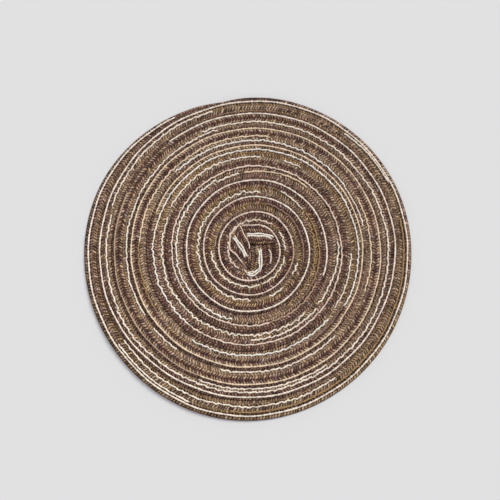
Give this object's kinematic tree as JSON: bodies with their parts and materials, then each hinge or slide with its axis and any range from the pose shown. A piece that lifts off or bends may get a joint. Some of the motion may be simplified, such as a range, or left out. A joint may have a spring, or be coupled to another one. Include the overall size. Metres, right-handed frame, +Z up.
{
  "type": "coiled seat pad",
  "caption": "Thin round seat pad or table mat: knitted tape wound flat in a spiral from a folded start, laps sewn together, pale yarns along its face.",
  "frame": {"origin": "middle of the pad's outline, on the surface that the pad rests on", "axes": "+Z up through the pad's thickness; +Y away from the viewer, towards the side where the tape's tail ends; seen from above the tape winds outwards clockwise"},
  "size_m": [0.3792, 0.3768, 0.0056],
  "materials": {
    "ground_fabric": "matte, coarse knit of space-dyed brown, gold and mauve-grey yarn",
    "cream_yarn": "matte, soft yarn, space-dyed from cream through tan to brown along its length",
    "brown_thread": "matte, thin sewing thread"
  },
  "bodies": {
    "root": {"coil_tape": "ground_fabric", "coil_edge_yarn": "cream_yarn", "coil_second_yarn": "cream_yarn", "coil_third_yarn": "cream_yarn", "coil_fourth_yarn": "cream_yarn", "needle_thread": "brown_thread", "bobbin_thread": "brown_thread", "start_strip_top": "ground_fabric", "start_strip_left": "ground_fabric", "start_strip_right": "ground_fabric", "start_edge_yarn_top": "cream_yarn", "start_centre_yarn_top": "cream_yarn", "start_edge_yarn_left": "cream_yarn", "start_centre_yarn_left": "cream_yarn", "start_outer_yarn_left": "cream_yarn", "start_edge_yarn_right": "cream_yarn", "start_centre_yarn_right": "cream_yarn"}
  },
  "joints": []
}
